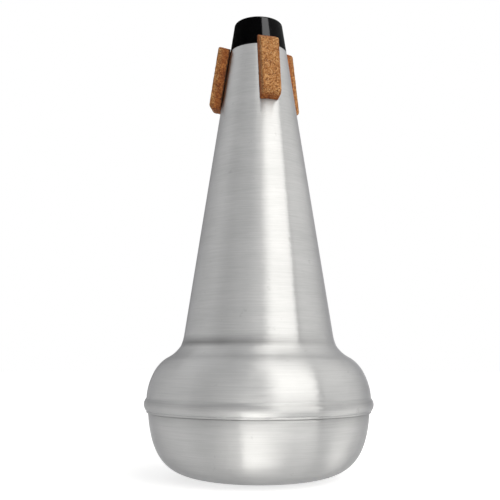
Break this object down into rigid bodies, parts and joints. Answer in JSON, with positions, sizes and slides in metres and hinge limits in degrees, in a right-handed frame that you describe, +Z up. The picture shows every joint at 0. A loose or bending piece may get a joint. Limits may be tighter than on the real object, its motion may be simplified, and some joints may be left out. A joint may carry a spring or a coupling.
{
  "type": "trombone straight mute",
  "caption": "Spun aluminium straight mute for a trombone: long cone with a domed shoulder, rolled bead, closed bowl, black end collar and glued cork strips.",
  "frame": {"origin": "middle of the flat in the base bowl, on the surface that the mute stands on", "axes": "+Z up the mute's axis, from the closed bowl to the open collar; -Y is the front that the picture shows"},
  "size_m": [0.1214, 0.1214, 0.25],
  "materials": {
    "spun_aluminium": "lathe-spun, with fine turning lines round the axis, satin",
    "black_plastic": "moulded, glossy black",
    "cork": "pressed cork granules, cut edges, matt"
  },
  "bodies": {
    "root": {"cone_shell": "spun_aluminium", "base_bowl": "spun_aluminium", "end_collar": "black_plastic", "cork_strip_front": "cork", "cork_strip_left": "cork", "cork_strip_right": "cork"}
  },
  "joints": []
}
